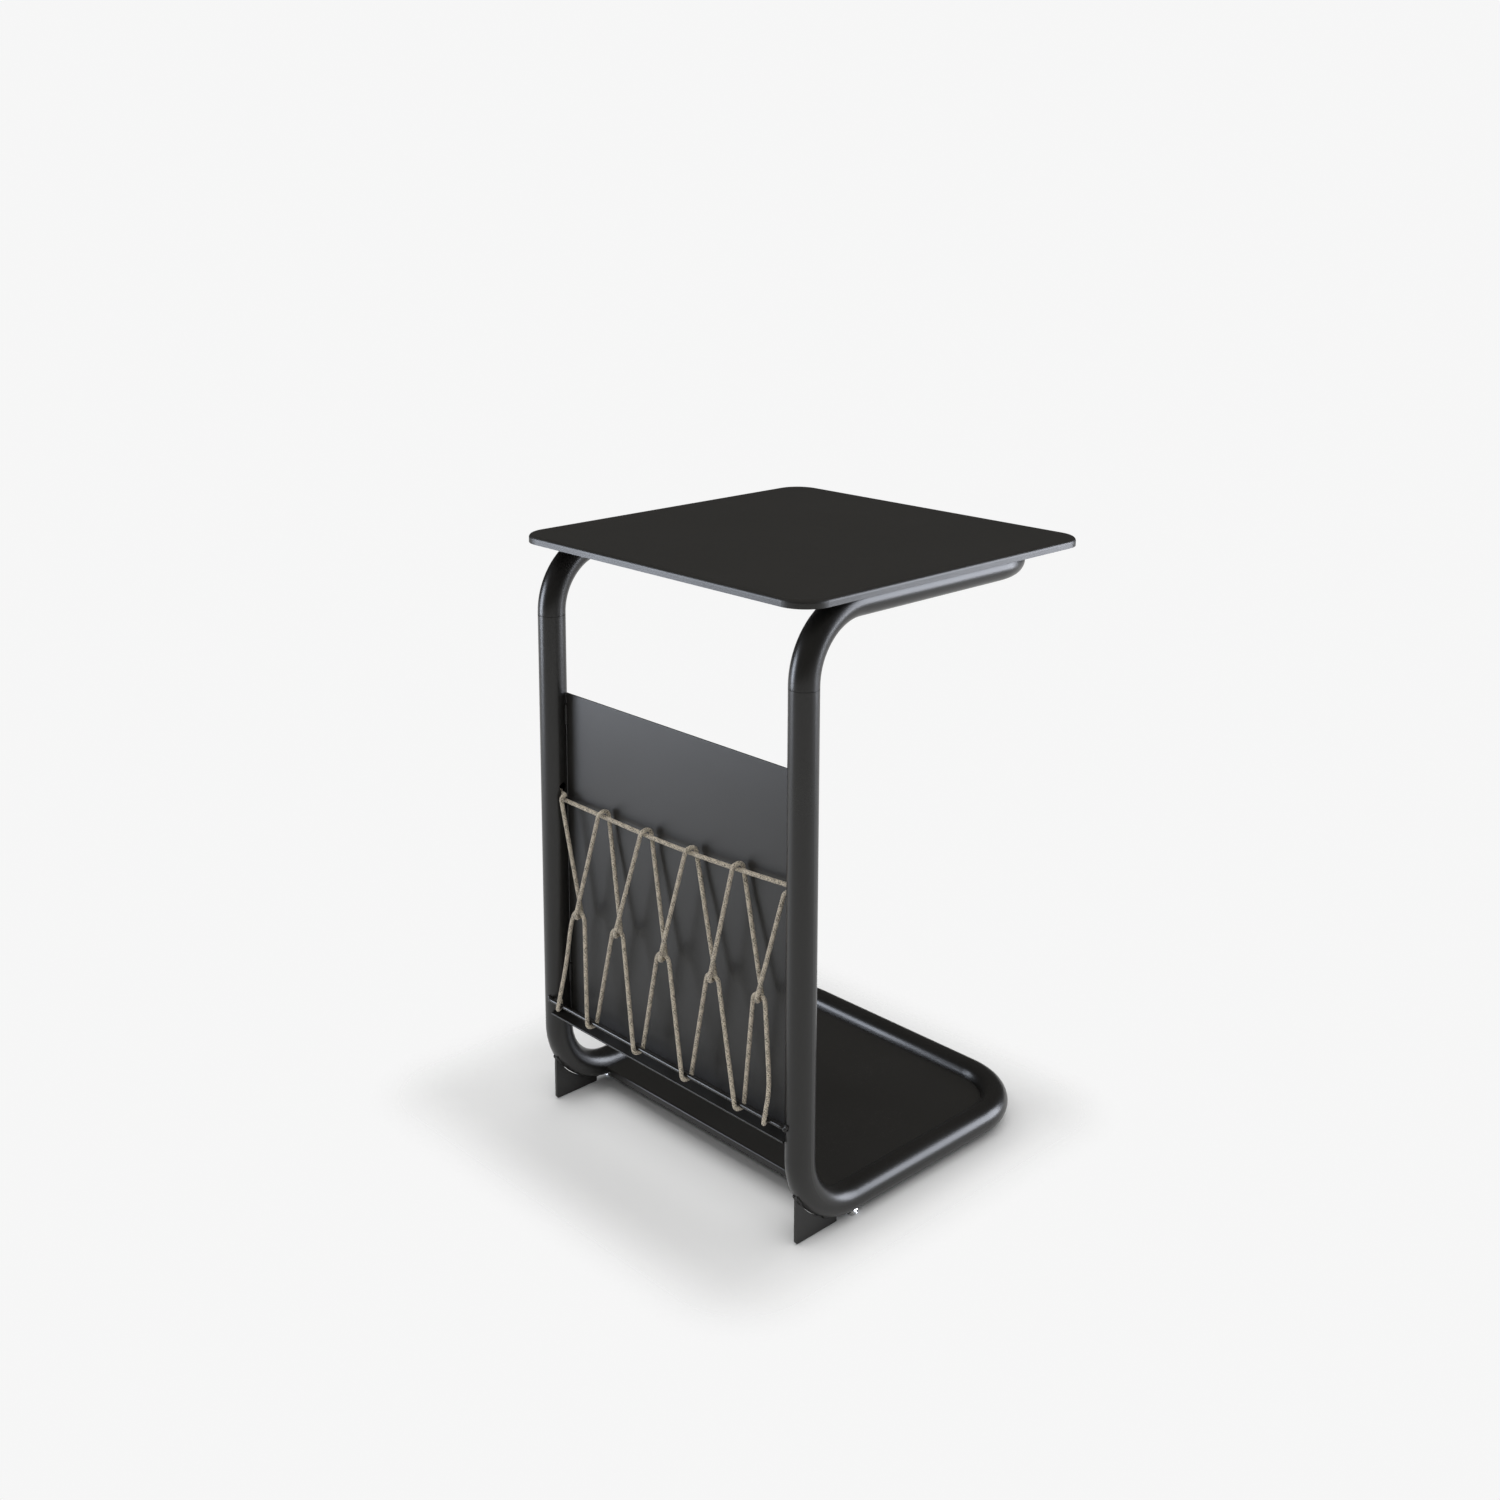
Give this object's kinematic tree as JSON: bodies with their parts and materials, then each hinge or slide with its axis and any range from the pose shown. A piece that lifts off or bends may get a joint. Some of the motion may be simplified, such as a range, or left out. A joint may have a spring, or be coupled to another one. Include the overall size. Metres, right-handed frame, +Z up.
{
  "type": "side table",
  "caption": "Square metal side table on a C-shaped tube frame, with a base shelf and a corded magazine rack between its uprights.",
  "frame": {"origin": "on the floor, under the middle of the square top", "axes": "+Z up; the uprights and their rack face -Y, the open side of the C is +Y; X runs from the left upright to the right one"},
  "size_m": [0.4, 0.4, 0.61],
  "materials": {
    "frame_paint": "fine textured matte powder coat",
    "panel_paint": "fine textured satin powder coat",
    "braided_cord": "round braided cord",
    "glide_chrome": "polished",
    "bare_steel": "zinc plated"
  },
  "bodies": {
    "table": {"base_frame_tube": "frame_paint", "top_frame_tube": "frame_paint", "top_plate": "frame_paint", "top_plate_welds": "frame_paint", "base_shelf": "frame_paint", "shelf_welds": "frame_paint", "rack_panel": "panel_paint", "rack_panel_welds": "frame_paint", "rack_rod": "frame_paint", "rack_rod_welds": "frame_paint", "foot_plate_left": "frame_paint", "foot_plate_right": "frame_paint", "foot_plate_welds": "frame_paint", "glide_nuts": "bare_steel", "cord_knots": "braided_cord", "top_cord": "braided_cord", "upper_lacing_cord": "braided_cord", "lower_lacing_cord": "braided_cord"},
    "glide_rack_left": {"glide_rack_left": "glide_chrome"},
    "glide_rack_right": {"glide_rack_right": "glide_chrome"},
    "glide_far_left": {"glide_far_left": "glide_chrome"},
    "glide_far_right": {"glide_far_right": "glide_chrome"}
  },
  "joints": [
    {"name": "glide_rack_left_travel", "type": "slide", "parent": "table", "child": "glide_rack_left", "axis": [0, 0, -1], "range_m": [0, 0.004]},
    {"name": "glide_rack_right_travel", "type": "slide", "parent": "table", "child": "glide_rack_right", "axis": [0, 0, -1], "range_m": [0, 0.004]},
    {"name": "glide_far_left_travel", "type": "slide", "parent": "table", "child": "glide_far_left", "axis": [0, 0, -1], "range_m": [0, 0.004]},
    {"name": "glide_far_right_travel", "type": "slide", "parent": "table", "child": "glide_far_right", "axis": [0, 0, -1], "range_m": [0, 0.004]}
  ]
}
